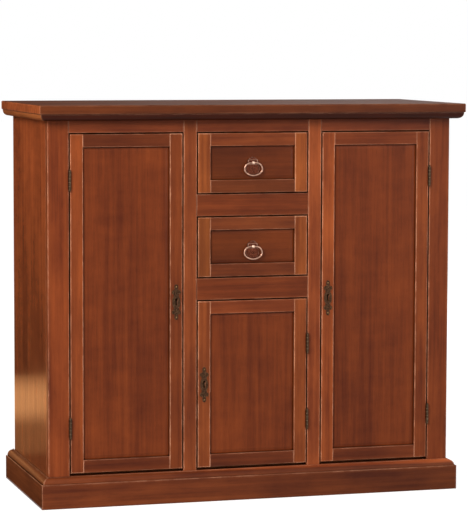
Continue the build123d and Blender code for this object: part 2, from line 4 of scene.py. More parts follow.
import bmesh
import bpy
from mathutils import Matrix, Vector


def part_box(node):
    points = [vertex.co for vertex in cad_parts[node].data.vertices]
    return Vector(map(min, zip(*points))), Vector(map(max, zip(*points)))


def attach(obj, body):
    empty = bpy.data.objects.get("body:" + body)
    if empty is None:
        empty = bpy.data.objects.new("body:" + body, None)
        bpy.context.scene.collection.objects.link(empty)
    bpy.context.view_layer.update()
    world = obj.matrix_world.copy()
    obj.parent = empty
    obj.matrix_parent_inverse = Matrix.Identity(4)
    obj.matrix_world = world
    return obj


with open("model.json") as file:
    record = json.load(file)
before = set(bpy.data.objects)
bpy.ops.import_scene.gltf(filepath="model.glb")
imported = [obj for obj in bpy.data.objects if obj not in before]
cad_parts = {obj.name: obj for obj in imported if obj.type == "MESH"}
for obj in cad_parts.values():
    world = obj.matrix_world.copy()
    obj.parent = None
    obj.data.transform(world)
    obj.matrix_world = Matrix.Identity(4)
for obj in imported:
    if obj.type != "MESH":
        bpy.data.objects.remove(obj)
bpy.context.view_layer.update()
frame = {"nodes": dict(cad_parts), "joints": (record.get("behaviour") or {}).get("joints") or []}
nodes = frame["nodes"]

# Metres throughout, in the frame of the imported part: doors and drawers face -Y, +Z is up.
MM = 0.001
DOORS = ("left_door", "middle_door", "right_door")
DRAWERS = ("upper_drawer", "lower_drawer")
HINGE_SIDE = {"left_door": -1, "middle_door": 1, "right_door": 1}


def linear(red, green, blue):
    """Scene colour of an 0 to 255 display colour."""
    shares = [channel / 255 for channel in (red, green, blue)]
    return tuple(s / 12.92 if s <= 0.04045 else ((s + 0.055) / 1.055) ** 2.4 for s in shares)


# Camera, fitted to the straight edges of the cabinet
IMAGE_HEIGHT = 512
FOCAL_PIXELS = 2430.0
SENSOR = 36.0
CAMERA_PLACE = (-1.891, -6.476, 1.242)
CAMERA_YAW = 0.2856
CAMERA_PITCH = 0.0886
CAMERA_ROLL = 0.0028


def set_camera():
    lens = bpy.data.cameras.new("camera")
    lens.sensor_width = SENSOR
    lens.lens = FOCAL_PIXELS * SENSOR / IMAGE_HEIGHT
    camera = bpy.data.objects.new("camera", lens)
    turns = ((-CAMERA_YAW, "Z"), (math.pi / 2 - CAMERA_PITCH, "X"), (CAMERA_ROLL, "Z"))
    camera.matrix_world = Matrix.Translation(CAMERA_PLACE)
    for angle, axis in turns:
        camera.matrix_world = camera.matrix_world @ Matrix.Rotation(angle, 4, axis)
    bpy.context.scene.collection.objects.link(camera)
    bpy.context.scene.camera = camera


class Shader:
    """A node tree, with a short call for each kind of node."""

    def __init__(self, tree):
        self.nodes = tree.nodes
        self.links = tree.links
        self.surface = self.nodes.get("Principled BSDF")

    def add(self, kind, inputs=None, **settings):
        node = self.nodes.new(kind)
        for key, value in settings.items():
            setattr(node, key, value)
        for key, value in (inputs or {}).items():
            self.feed(node.inputs[key], value)
        return node

    def feed(self, socket, value):
        if isinstance(value, bpy.types.NodeSocket):
            self.links.new(value, socket)
        elif isinstance(value, tuple) and len(value) == 3 and socket.type == "RGBA":
            socket.default_value = (*value, 1)
        else:
            socket.default_value = value

    def math(self, operation, *values, clamp=False):
        node = self.add("ShaderNodeMath", dict(enumerate(values)), operation=operation, use_clamp=clamp)
        return node.outputs[0]

    def vector(self, operation, first, second):
        node = self.add("ShaderNodeVectorMath", {0: first, 1: second}, operation=operation)
        return node.outputs[1 if operation in ("DOT_PRODUCT", "DISTANCE") else 0]

    def noise(self, place, scale, detail=3.0, roughness=0.5, distortion=0.0):
        inputs = {"Vector": place, "Scale": scale, "Detail": detail, "Roughness": roughness}
        node = self.add("ShaderNodeTexNoise", inputs | {"Distortion": distortion})
        return node.outputs["Fac"]

    def ramp(self, value, low, high, bottom=0.0, top=1.0):
        """Value carried from low..high to bottom..top, smoothly and held there."""
        names = ("Value", "From Min", "From Max", "To Min", "To Max")
        inputs = dict(zip(names, (value, low, high, bottom, top)))
        return self.add("ShaderNodeMapRange", inputs, interpolation_type="SMOOTHSTEP").outputs["Result"]

    def mix(self, share, first, second):
        node = self.add("ShaderNodeMix", data_type="RGBA")
        for index, value in ((0, share), (6, first), (7, second)):
            self.feed(node.inputs[index], value)
        return node.outputs[2]

    def scaled(self, colour, share):
        """Colour made darker or lighter by a share."""
        node = self.add("ShaderNodeVectorMath", {0: colour, "Scale": share}, operation="SCALE")
        return node.outputs[0]

    def place(self):
        """Where a point lies on the object, in metres."""
        return self.add("ShaderNodeTexCoord").outputs["Object"]

    def bump(self, height, depth, strength=1.0):
        inputs = {"Height": height, "Distance": depth, "Strength": strength}
        self.feed(self.surface.inputs["Normal"], self.add("ShaderNodeBump", inputs).outputs["Normal"])

    def arris(self, radius):
        """How near a point is to an outer edge, from 0 on a flat face."""
        rounded = self.add("ShaderNodeBevel", {"Radius": radius}, samples=6).outputs["Normal"]
        flat = self.add("ShaderNodeNewGeometry").outputs["Normal"]
        return self.math("SUBTRACT", 1.0, self.vector("DOT_PRODUCT", rounded, flat))

    def openness(self, reach):
        """1 on a face in the open, down to 0 in a narrow gap."""
        return self.add("ShaderNodeAmbientOcclusion", {"Distance": reach}, samples=8).outputs["AO"]

    def set(self, **values):
        for name, value in values.items():
            self.feed(self.surface.inputs[name.replace("_", " ")], value)

    def show(self, node, output="Material Output"):
        """Makes a node's result the one that is seen."""
        self.feed(self.nodes[output].inputs["Surface"], node.outputs[0])


def new_material(name):
    material = bpy.data.materials.new(name)
    material.use_nodes = True
    return material, Shader(material.node_tree)


# Wood
GRAIN_ORDER = {"x": (1, 2, 0), "y": (2, 0, 1), "z": (0, 1, 2)}
# Patterns: rate of change along the grain, cells to the metre, detail, roughness, distortion
CLOUD = (0.45, 9.0, 4.0, 0.6)
STREAK = (0.03, 75.0, 5.0, 0.62, 0.2)
BAND = (0.05, 17.0, 2.0, 0.5, 0.6)
FIBRE = (0.03, 1300.0, 3.0, 0.65)
CURL = (2.2, 13.0, 3.0, 0.55)
# Ramps: a pattern's low and high value and, where they aren't 0 and 1, what these turn into
PORES = (0.55, 0.7, 1.0, 0.72)
# Arris lightening, partly wear and partly a painted highlight: its edges, and where streaks, gaps and
# curl let it show
WORN_AND_HIGHLIT_EDGES = (0.004, 0.022)
WORN_AND_HIGHLIT_STREAKS = (0.3, 0.62, 0.45, 1.0)
WORN_AND_HIGHLIT_OPEN = (0.5, 0.85)
WORN_AND_HIGHLIT_CURL = (0.38, 0.6, 0.35, 1.0)
# Openness below which gaps, joints and recesses take the dark colour: glaze and painted shade
GLAZE_AND_SHADE_FADE = (0.25, 0.74)
PORE_DEPTH = 0.1 * MM
KNOT_SHADE = 0.3
KNOT_SWIRL = 35 * MM
GAP_REACH = 6 * MM
ARRIS_REACH = 3.4 * MM
# Dark colour in gaps and recesses, partly glaze and partly painted shade
GLAZE_AND_PAINTED_SHADE = linear(16, 4, 1)
# Pale arris colour, partly worn stain and partly a painted highlight
ARRIS_WEAR_AND_HIGHLIGHT = linear(246, 182, 146)
WOOD_SPECULAR = 0.12


def stain(red, green, blue, spread=1.0):
    """Dark and light streak colours round one display colour."""
    dark = (red * (1 - 0.24 * spread), green * (1 - 0.32 * spread), blue * (1 - 0.34 * spread))
    light = (red * (1 + 0.22 * spread), green * (1 + 0.3 * spread), blue * (1 + 0.3 * spread))
    return linear(*dark), linear(*light)


def wood(name, grain, colours, seed, streaks=1.0, clouds=1.0, figure=1.0, ribbon=0.0, gloss=0.36,
         arris_wear_and_highlight=0.0, drifts=(), knot=None):
    """Stained wood whose fibres run along one axis. Colours are its dark and light streaks.

    Arris wear and highlight is how far its arrises are lightened, partly by wear and partly as a painted
    highlight. Gaps and recesses are darkened, partly as glaze and partly as painted shade. A drift is an
    axis with two places on it and the shares of the colour there. The axis is a letter, a direction, or
    "ends" for the same at both ends of X.
    A knot is a place and a radius.
    """
    material, shader = new_material(name)
    place = shader.place()
    spot = shader.add("ShaderNodeSeparateXYZ", {0: place}).outputs
    moved = shader.vector("ADD", place, (1.37 * seed, -2.11 * seed, 0.83 * seed))
    if knot:
        centre, radius = knot
        away = shader.vector("DISTANCE", place, centre)
        swirl = shader.ramp(away, 0.0, 7 * radius, KNOT_SWIRL, 0.0)
        bent = shader.add("ShaderNodeCombineXYZ", {0: swirl, 1: swirl}).outputs[0]
        moved = shader.vector("ADD", moved, bent)
    parts = shader.add("ShaderNodeSeparateXYZ", {0: moved}).outputs
    across, beside, along = [parts[index] for index in GRAIN_ORDER[grain]]

    def pattern(rate, *settings):
        slowed = shader.math("MULTIPLY", along, rate)
        grained = shader.add("ShaderNodeCombineXYZ", {0: across, 1: beside, 2: slowed}).outputs[0]
        return shader.noise(grained, *settings)

    def centred(value, share, onto):
        return shader.math("MULTIPLY_ADD", shader.math("SUBTRACT", value, 0.5), share, onto)

    cloud, streak, band, fibre, curl = (pattern(*values) for values in (CLOUD, STREAK, BAND, FIBRE, CURL))
    tone = centred(streak, 1.5 * streaks, 0.5)
    for value, share in ((cloud, 1.7 * clouds), (band, figure), (curl, ribbon)):
        tone = centred(value, share, tone)
    tone = shader.math("ADD", tone, 0.0, clamp=True)
    colour = shader.mix(tone, *colours)
    shade = shader.ramp(fibre, *PORES)
    for axis, low, high, bottom, top in drifts:
        if axis == "ends":
            along_axis = shader.math("ABSOLUTE", spot[0])
        elif isinstance(axis, tuple):
            along_axis = shader.vector("DOT_PRODUCT", place, axis)
        else:
            along_axis = spot["XYZ".index(axis)]
        shade = shader.math("MULTIPLY", shade, shader.ramp(along_axis, low, high, bottom, top))
    if knot:
        heart = shader.ramp(away, 0.4 * radius, 2.2 * radius, KNOT_SHADE, 1.0)
        shade = shader.math("MULTIPLY", shade, heart)
    colour = shader.scaled(colour, shade)
    openness = shader.openness(GAP_REACH)
    # Arrises lightened towards the pale colour, partly wear and partly a painted highlight
    if arris_wear_and_highlight:
        rubbed = shader.ramp(shader.arris(ARRIS_REACH), *WORN_AND_HIGHLIT_EDGES)
        for value, limits in ((streak, WORN_AND_HIGHLIT_STREAKS), (openness, WORN_AND_HIGHLIT_OPEN), (curl, WORN_AND_HIGHLIT_CURL)):
            rubbed = shader.math("MULTIPLY", rubbed, shader.ramp(value, *limits))
        colour = shader.mix(shader.math("MULTIPLY", rubbed, arris_wear_and_highlight), colour, ARRIS_WEAR_AND_HIGHLIGHT)
    # Gaps, joints and recesses darkened by how closed in they are: glaze and painted shade
    colour = shader.mix(shader.ramp(openness, *GLAZE_AND_SHADE_FADE), GLAZE_AND_PAINTED_SHADE, colour)
    roughness = shader.ramp(streak, 0.3, 0.7, gloss + 0.05, gloss - 0.04)
    shader.set(Base_Color=colour, Roughness=roughness, Specular_IOR_Level=WOOD_SPECULAR)
    shader.bump(shader.math("MULTIPLY_ADD", streak, 0.6, fibre), PORE_DEPTH, 0.3)
    return material


# Metal, with its patterns' cells to the metre, detail and roughness, and its ramps as for wood
PATCHES = (330.0, 4.0, 0.6)
GRIT = (2600.0, 2.0, 0.6)
BARE_PATCHES = (0.38, 0.62)
POLISHED_EDGES = (0.02, 0.25)
POLISHED_PATCHES = (0.35, 0.6, 0.45, 1.0)
UNSHADED = (0.25, 0.8, 0.25, 1.0)
GRIT_DEPTH = 0.05 * MM
HOLLOW_REACH = 1.5 * MM
PLATE_PROUD = (-214.4 * MM, -218 * MM)


def metal(name, base, worn, roughness, wear_reach, patina, proud):
    """Aged metal: dark patina in its hollows and in patches, brighter where handling has worn it.

    Proud is two places on Y between which the front of the piece turns from patina to worn metal.
    """
    material, shader = new_material(name)
    place = shader.place()
    cloud = shader.noise(place, *PATCHES)
    grit = shader.noise(place, *GRIT)
    dull = tuple(channel * (1 - patina) for channel in base)
    colour = shader.mix(shader.ramp(cloud, *BARE_PATCHES), dull, base)
    edges = shader.ramp(shader.arris(wear_reach), *POLISHED_EDGES)
    rubbed = shader.math("MULTIPLY", edges, shader.ramp(cloud, *POLISHED_PATCHES))
    if proud:
        far, near = proud
        depth = shader.add("ShaderNodeSeparateXYZ", {0: place}).outputs["Y"]
        rubbed = shader.math("MAXIMUM", rubbed, shader.ramp(depth, near, far, 1.0, 0.0))
    colour = shader.mix(rubbed, colour, worn)
    hollow = shader.ramp(shader.openness(HOLLOW_REACH), *UNSHADED)
    gloss = shader.ramp(cloud, 0.3, 0.7, roughness + 0.12, roughness - 0.05)
    shader.set(Base_Color=shader.scaled(colour, hollow), Metallic=1.0, Roughness=gloss)
    shader.bump(grit, GRIT_DEPTH, 0.4)
    return material


def paint(material, *names):
    """Gives CAD nodes a material."""
    for name in names:
        slots = nodes[name].data.materials
        slots.clear()
        slots.append(material)


# Each piece's grain, display colour, and how its colour drifts over it
LEFT_STILES_DRIFT = ("X", -0.48, -0.22, 0.97, 0.8)
RIGHT_STILES_DRIFT = ("X", 0.22, 0.48, 1.15, 0.9)
POST_DRIFT = ("X", -0.5, 0.5, 0.93, 0.77)
MIDDLE_POST_DRIFT = ("X", -0.17, 0.17, 0.83, 1.12)
DRAWER_DRIFT = ("X", -0.1, 0.1, 0.96, 1.05)
DRAWER_PANEL_DRIFT = ("X", -0.1, 0.12, 0.97, 1.28)
LOWER_STILES_DRIFT = ("X", -0.1, 0.1, 0.6, 0.9)
UPPER_RAILS_DRIFT = ("Z", 0.86, 0.97, 0.68, 1.14)
LEFT_RAILS_DRIFT = ("Z", 0.15, 0.95, 0.77, 0.65)
MIDDLE_RAILS_DRIFT = ("Z", 0.12, 0.5, 0.66, 0.93)
RIGHT_RAILS_DRIFT = ("Z", 0.15, 0.95, 0.76, 0.92)
PLINTH_DRIFT = ("X", -0.5, 0.55, 1.05, 0.73)
# Painted highlight on the plinth's moulding: it gets lighter upwards, from lower down towards the right
PLINTH_ROUND_PAINTED_HIGHLIGHT = ((1.0, 0.0, 100.0), 7.65, 8.5, 1.0, 2.8)
# Painted light: the top board's end faces lighter, as sides lit by the lamps
TOP_END_PAINTED_LIGHT = ("ends", 0.5925, 0.5938, 1.0, 3.3)
SIDE_DRIFT = ("Z", 0.32, 1.0, 0.64, 1.14)
FRAME_WOOD = {
    "corner_posts": ("z", (126, 57, 27), (POST_DRIFT,)),
    "middle_posts": ("z", (132, 63, 32), (MIDDLE_POST_DRIFT,)),
    "left_door_stiles": ("z", (124, 57, 27), (LEFT_STILES_DRIFT,)),
    "middle_door_stiles": ("z", (125, 60, 29), ()),
    "right_door_stiles": ("z", (131, 62, 30), (RIGHT_STILES_DRIFT,)),
    "upper_drawer_front_stiles": ("z", (142, 72, 34), (DRAWER_DRIFT,)),
    "lower_drawer_front_stiles": ("z", (141, 71, 34), (LOWER_STILES_DRIFT,)),
    "top_rails": ("x", (118, 54, 29), ()),
    "drawer_rails": ("x", (109, 49, 23), ()),
    "bottom_rails": ("x", (104, 46, 22), ()),
    "left_door_rails": ("x", (113, 51, 25), (LEFT_RAILS_DRIFT,)),
    "middle_door_rails": ("x", (115, 52, 26), (MIDDLE_RAILS_DRIFT,)),
    "right_door_rails": ("x", (113, 51, 25), (RIGHT_RAILS_DRIFT,)),
    "upper_drawer_front_rails": ("x", (114, 54, 27), (UPPER_RAILS_DRIFT,)),
    "lower_drawer_front_rails": ("x", (103, 48, 24), ()),
}
TRIM_WOOD = {
    "top_board": ("x", (87, 40, 18), (TOP_END_PAINTED_LIGHT,)),
    # Painted shade and light: the front moulding is stained near black, as if in shadow under the top,
    # and its sides are lighter, as if lit
    "top_moulding_front": ("x", (52, 14, 1), ()),
    "top_moulding_sides": ("y", (150, 80, 42), ()),
    "plinth_front": ("x", (109, 51, 25), (PLINTH_DRIFT, PLINTH_ROUND_PAINTED_HIGHLIGHT)),
    "plinth_sides": ("y", (100, 47, 22), ()),
}
INNER_WOOD = {
    "partitions": "z",
    "bottom_board": "x",
    "shelves": "x",
    "drawer_runners": "y",
    "back_foot_rail": "x",
    "corner_blocks": "z",
}
# How far arrises are lightened, partly wear and partly a painted highlight; upright pieces most, as their
# edges catch the light
UPRIGHT_WEAR_AND_HIGHLIGHT = 0.86
LEVEL_WEAR_AND_HIGHLIGHT = 0.34
TRIM_WEAR_AND_HIGHLIGHT = 0.28
DOOR_PANEL = (109, 48, 21)
DRAWER_PANEL = (90, 39, 15)
SIDE = (141, 66, 33)
INSIDE = (132, 76, 42)
BACK = (110, 68, 42)
DRAWER_BOX = (196, 152, 102)
SIDE_KNOT = ((-565 * MM, -133 * MM, 453 * MM), 5 * MM)


def paint_woods():
    """Stains the wooden pieces. Each has its own seed, but the pieces of a drawer's box share one."""
    for seed, (name, (grain, colour, drifts)) in enumerate(FRAME_WOOD.items(), 3):
        arris_wear_and_highlight = UPRIGHT_WEAR_AND_HIGHLIGHT if grain == "z" else LEVEL_WEAR_AND_HIGHLIGHT
        paint(wood(name, grain, stain(*colour), seed, arris_wear_and_highlight=arris_wear_and_highlight, drifts=drifts), name)
    for seed, (name, (grain, colour, drifts)) in enumerate(TRIM_WOOD.items(), 31):
        paint(wood(name, grain, stain(*colour), seed, arris_wear_and_highlight=TRIM_WEAR_AND_HIGHLIGHT, drifts=drifts), name)
    door_figure = {"streaks": 0.85, "clouds": 0.7, "figure": 0.6, "ribbon": 0.5}
    for seed, door in enumerate(DOORS, 41):
        name = f"{door}_panel"
        paint(wood(name, "z", stain(*DOOR_PANEL), seed, **door_figure), name)
    drawer_figure = {"streaks": 0.6, "clouds": 0.9, "figure": 0.6, "ribbon": 0.25}
    for seed, drawer in enumerate(DRAWERS, 47):
        name = f"{drawer}_front_panel"
        drifts = (DRAWER_PANEL_DRIFT,)
        paint(wood(name, "x", stain(*DRAWER_PANEL), seed, drifts=drifts, **drawer_figure), name)
    side_figure = {"streaks": 0.7, "clouds": 0.7, "figure": 0.8, "ribbon": 0.55, "gloss": 0.22}
    for seed, (name, knot) in enumerate((("side_left", SIDE_KNOT), ("side_right", None)), 51):
        paint(wood(name, "z", stain(*SIDE), seed, drifts=(SIDE_DRIFT,), knot=knot, **side_figure), name)
    for seed, (name, grain) in enumerate(INNER_WOOD.items(), 71):
        paint(wood(name, grain, stain(*INSIDE), seed, gloss=0.5), name)
    back_figure = {"streaks": 0.4, "clouds": 0.8, "figure": 0.3, "gloss": 0.6}
    paint(wood("back_panel", "z", stain(*BACK), 81, **back_figure), "back_panel")
    for seed, drawer in enumerate(DRAWERS, 91):
        for part, grain in (("sides", "y"), ("back", "x"), ("bottom", "x")):
            name = f"{drawer}_{part}"
            paint(wood(name, grain, stain(*DRAWER_BOX, 0.6), seed, gloss=0.5), name)


# Each metal's base and worn display colour, roughness, worn edges' reach in millimetres, and patina
METALS = {
    "dark_bronze": ((84, 66, 50), (210, 180, 144), 0.34, 0.8, 0.5),
    "escutcheon_bronze": ((84, 58, 43), (184, 144, 98), 0.38, 0.5, 0.7),
    "plate_bronze": ((108, 58, 42), (220, 184, 162), 0.36, 0.6, 0.55),
    "antique_brass": ((196, 152, 130), (220, 184, 162), 0.28, 0.6, 0.45),
    "pin_brass": ((172, 136, 86), (206, 172, 118), 0.34, 0.4, 0.5),
    "steel": ((170, 168, 162), (206, 204, 198), 0.34, 0.4, 0.2),
}


def paint_metals():
    metals = {}
    for name, (base, worn, roughness, reach, patina) in METALS.items():
        proud = PLATE_PROUD if name == "plate_bronze" else None
        metals[name] = metal(name, linear(*base), linear(*worn), roughness, reach * MM, patina, proud)
    paint(metals["dark_bronze"], "hinge_frame_leaves", "hinge_pins")
    paint(metals["steel"], "lock_keepers", "shelf_pins")
    for door in DOORS:
        paint(metals["dark_bronze"], f"{door}_hinge_leaves")
        paint(metals["escutcheon_bronze"], f"{door}_escutcheon")
        paint(metals["steel"], f"{door}_lock_case", f"{door}_lock_bolt")
    for drawer in DRAWERS:
        paint(metals["plate_bronze"], f"{drawer}_pull_plate")
        paint(metals["antique_brass"], f"{drawer}_pull_ring")
    return metals


# Small forms, each drawn in its own frame: x and y on the face that carries it, z standing off it
FACINGS = {
    "-Y": (Vector((1, 0, 0)), Vector((0, 0, 1)), Vector((0, -1, 0))),
    "+Y": (Vector((-1, 0, 0)), Vector((0, 0, 1)), Vector((0, 1, 0))),
    "-X": (Vector((0, -1, 0)), Vector((0, 0, 1)), Vector((-1, 0, 0))),
    "+X": (Vector((0, 1, 0)), Vector((0, 0, 1)), Vector((1, 0, 0))),
}
SHARP = math.radians(40)


def seat(place, facing):
    """Frame of a small form at a place given in millimetres, standing off towards a side."""
    right, up, out = FACINGS[facing]
    turn = Matrix((right, up, out)).transposed().to_4x4()
    return Matrix.Translation(Vector(place) * MM) @ turn @ Matrix.Scale(MM, 4)


def add_rings(form, seated, rings, loop=False):
    """Joins rings of points, all of one length, into a closed skin."""
    made = [[form.verts.new(seated @ Vector(point)) for point in ring] for ring in rings]
    count = len(rings[0])
    pairs = list(zip(made, made[1:]))
    if loop:
        pairs.append((made[-1], made[0]))
    for first, second in pairs:
        for index in range(count):
            following = (index + 1) % count
            form.faces.new((first[index], first[following], second[following], second[index]))
    if not loop:
        form.faces.new(reversed(made[0]))
        form.faces.new(made[-1])


def circle(radius, height, sides):
    steps = [2 * math.pi * index / sides for index in range(sides)]
    return [(radius * math.cos(step), radius * math.sin(step), height) for step in steps]


def add_turned(form, seated, profile, sides=20):
    """Form turned about z, from pairs of radius and height."""
    add_rings(form, seated, [circle(radius, height, sides) for radius, height in profile])


def add_dome(form, seated, radius, height, sides=16):
    steps = [math.pi / 2 * step / 5 for step in range(5)]
    profile = [(radius * math.cos(step), height * math.sin(step)) for step in steps]
    add_turned(form, seated, [(radius, -0.1 * height), *profile, (0.12 * radius, 0.99 * height)], sides)


def add_bead(form, seated, points, radii, loop=False, sides=8):
    """Round bead along points on the face, half sunk in it.

    Radii is one radius, or a list with one for each point.
    """
    if isinstance(radii, float):
        radii = [radii] * len(points)
    rings = []
    for index, (x, y) in enumerate(points):
        before = points[index - 1] if index or loop else points[index]
        after = points[(index + 1) % len(points)] if index + 1 < len(points) or loop else points[index]
        way = Vector((after[0] - before[0], after[1] - before[1])).normalized()
        ring = []
        for step in range(sides):
            angle = 2 * math.pi * step / sides
            aside = radii[index] * math.cos(angle)
            ring.append((x - way.y * aside, y + way.x * aside, radii[index] * math.sin(angle)))
        rings.append(ring)
    add_rings(form, seated, rings, loop=loop)


def add_screw(form, seated, turn):
    """Low countersunk head: a disc with two raised halves that leave a slot between them."""
    radius, height = SCREW_RADIUS, SCREW_PROUD
    spun = seated @ Matrix.Rotation(turn, 4, "Z")
    add_turned(form, spun, [(radius, 0), (radius, 0.3 * height), (0.96 * radius, 0.4 * height)])
    slot_half = 0.16 * radius
    for side in (0, math.pi):
        half = spun @ Matrix.Rotation(side, 4, "Z")
        profile = ((0.96 * radius, 0.3 * height), (0.94 * radius, 0.8 * height), (0.8 * radius, height))
        rings = []
        for reach, level in profile:
            start = math.asin(slot_half / reach)
            steps = [start + (math.pi - 2 * start) * index / 10 for index in range(11)]
            rings.append([(reach * math.cos(step), reach * math.sin(step), level) for step in steps])
        add_rings(form, half, rings)


def ellipse(half_width, half_height, count):
    steps = [2 * math.pi * index / count for index in range(count)]
    return [(half_width * math.cos(step), half_height * math.sin(step)) for step in steps]


def on_circle(centre, radius, degrees):
    angle = math.radians(degrees)
    return centre[0] + radius * math.cos(angle), centre[1] + radius * math.sin(angle)


def arc(centre, radius, start, end, count):
    """Points on a circle from one angle to another, in degrees."""
    angles = [start + (end - start) * index / (count - 1) for index in range(count)]
    return [on_circle(centre, radius, angle) for angle in angles]


def add_piece(name, form, body, material):
    """Puts a drawn form on a body, with its finish."""
    bmesh.ops.recalc_face_normals(form, faces=form.faces)
    mesh = bpy.data.meshes.new(name)
    form.to_mesh(mesh)
    form.free()
    mesh.materials.append(material)
    mesh.shade_smooth()
    mesh.set_sharp_from_angle(angle=SHARP)
    piece = bpy.data.objects.new(name, mesh)
    bpy.context.scene.collection.objects.link(piece)
    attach(piece, body)


# Fixings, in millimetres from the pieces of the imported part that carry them
SCREW_RADIUS = 2.1
SCREW_PROUD = 0.22
HINGE_HEIGHT = 50.0
LEAF_FACE = 0.3
LEAF_SCREWS = ((6, -17), (11, 0), (6, 17))
LOCK_SCREW_RISE = 28.5
KEEPER_GAP = 3.0
KEEPER_RISE = 18
KEEPER_SCREW_RISE = 11
KEYHOLE_INSET = 17.5
PLATE_THICKNESS = 2.0
SADDLE_THICKNESS = 1.2
WASHER = ((5.0, 0.0), (5.0, 0.9), (4.8, 1.0))
NUT = ((3.7, 0.9), (4.0, 1.2), (4.0, 3.7), (3.6, 4.1))
NAIL_STEP = 110.0
NAIL_INSET = 7.0
NAIL_RADIUS = 2.2
NAIL_PROUD = 0.7


def corners(node):
    """Lowest and highest corner of a CAD node, in millimetres."""
    return [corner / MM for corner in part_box(node)]


def joint_place(name):
    """Where a joint's axis lies, in millimetres."""
    joint = next(joint for joint in frame["joints"] if joint["name"] == name)
    return Vector(joint["pos_m"]) / MM


def lock_place(door):
    """Middle of a lock's face plate, which lies in the free edge of its door."""
    low, high = corners(f"{door}_lock_case")
    middle = (low + high) / 2
    middle.x = high.x if HINGE_SIDE[door] < 0 else low.x
    return middle


def add_hinge_screws(metals):
    """Three screws in each leaf, each at an inset from its back edge and a rise from its middle."""
    frame_side = bmesh.new()
    for index, door in enumerate(DOORS):
        toward = -HINGE_SIDE[door]
        door_way, frame_way = ("-X", "+X") if toward > 0 else ("+X", "-X")
        axis = joint_place(f"{door}_swing").x
        low, high = corners(f"{door}_hinge_leaves")
        door_side = bmesh.new()
        for middle in (low.z + HINGE_HEIGHT / 2, high.z - HINGE_HEIGHT / 2):
            for step, (inset, rise) in enumerate(LEAF_SCREWS):
                turn = 0.7 * index + 1.9 * step + 0.013 * middle
                y, z = high.y - inset, middle + rise
                add_screw(frame_side, seat((axis - toward * LEAF_FACE, y, z), frame_way), turn)
                add_screw(door_side, seat((axis + toward * LEAF_FACE, y, z), door_way), 2.4 - turn)
        add_piece(f"{door}_hinge_screws", door_side, door, metals["dark_bronze"])
    add_piece("frame_hinge_screws", frame_side, "carcass", metals["dark_bronze"])


def add_lock_screws(metals):
    """Two screws in each lock's face plate and two in its keeper, across the gap beside the door."""
    keepers = bmesh.new()
    for index, door in enumerate(DOORS):
        out = -HINGE_SIDE[door]
        plate_way, keeper_way = ("+X", "-X") if out > 0 else ("-X", "+X")
        lock = lock_place(door)
        plates = bmesh.new()
        for way in (-1, 1):
            plate_face = seat((lock.x, lock.y, lock.z + way * LOCK_SCREW_RISE), plate_way)
            add_screw(plates, plate_face, 0.4 + index + way)
            height = lock.z + KEEPER_RISE + way * KEEPER_SCREW_RISE
            keeper_face = seat((lock.x + out * KEEPER_GAP, lock.y, height), keeper_way)
            add_screw(keepers, keeper_face, 1.1 + index - way)
        add_piece(f"{door}_lock_screws", plates, door, metals["steel"])
    add_piece("keeper_screws", keepers, "carcass", metals["steel"])


# An escutcheon's relief, from the middle of its plate, with each bead's radius or radii
SHIELD = (9.6, 17.4)
SHIELD_BEAD = 0.75
KEYHOLE_EYE = ((0, 6), 5.3, -48, 228)
KEYHOLE_FOOT = ((-3.5, -8.6), (-2.2, -9.4), (2.2, -9.4), (3.5, -8.6))
KEYHOLE_BEAD = 0.6
VOLUTE_MIDDLE = (6.6, 27)
VOLUTE_RADIUS = 4.7
VOLUTE_SHRINK = 0.085
VOLUTE_START = -70
VOLUTE_TURN = 19
VOLUTE_BEADS = [0.75 - 0.015 * step for step in range(26)]
MIDRIB = (19, 24, 30, 35)
MIDRIB_BEADS = [0.3, 0.9, 0.8, 0.3]
VEIN = ((0.6, 21), (2.2, 25), (2.9, 30), (2.2, 34.5))
VEIN_BEADS = [0.3, 0.7, 0.65, 0.3]
PIN_RISE = 41.2
PIN_HEAD = (1.7, 1.1)


def volute(side, way):
    """Spiral that winds inwards, in the quarter of the plate that side and way name."""
    points = []
    for step in range(len(VOLUTE_BEADS)):
        radius = VOLUTE_RADIUS - VOLUTE_SHRINK * step
        x, y = on_circle(VOLUTE_MIDDLE, radius, VOLUTE_START + VOLUTE_TURN * step)
        points.append((side * x, way * y))
    return points


def add_escutcheon_relief(metals):
    """Beads round the shield and keyhole, volutes, leaf veins and the pins that hold the plate."""
    for door in DOORS:
        lock = lock_place(door)
        front = corners(f"{door}_escutcheon")[0].y
        face = seat((lock.x + HINGE_SIDE[door] * KEYHOLE_INSET, front, lock.z), "-Y")
        relief, pins = bmesh.new(), bmesh.new()
        add_bead(relief, face, ellipse(*SHIELD, 40), SHIELD_BEAD, loop=True)
        keyhole = [*arc(*KEYHOLE_EYE, 22), *KEYHOLE_FOOT]
        add_bead(relief, face, keyhole, KEYHOLE_BEAD, loop=True, sides=6)
        for way in (-1, 1):
            for side in (-1, 1):
                add_bead(relief, face, volute(side, way), VOLUTE_BEADS, sides=6)
            add_bead(relief, face, [(0, way * rise) for rise in MIDRIB], MIDRIB_BEADS, sides=6)
            for side in (-1, 1):
                add_bead(relief, face, [(side * x, way * y) for x, y in VEIN], VEIN_BEADS, sides=6)
            add_dome(pins, face @ Matrix.Translation((0, way * PIN_RISE, 0)), *PIN_HEAD)
        add_piece(f"{door}_escutcheon_relief", relief, door, metals["escutcheon_bronze"])
        add_piece(f"{door}_escutcheon_pins", pins, door, metals["pin_brass"])


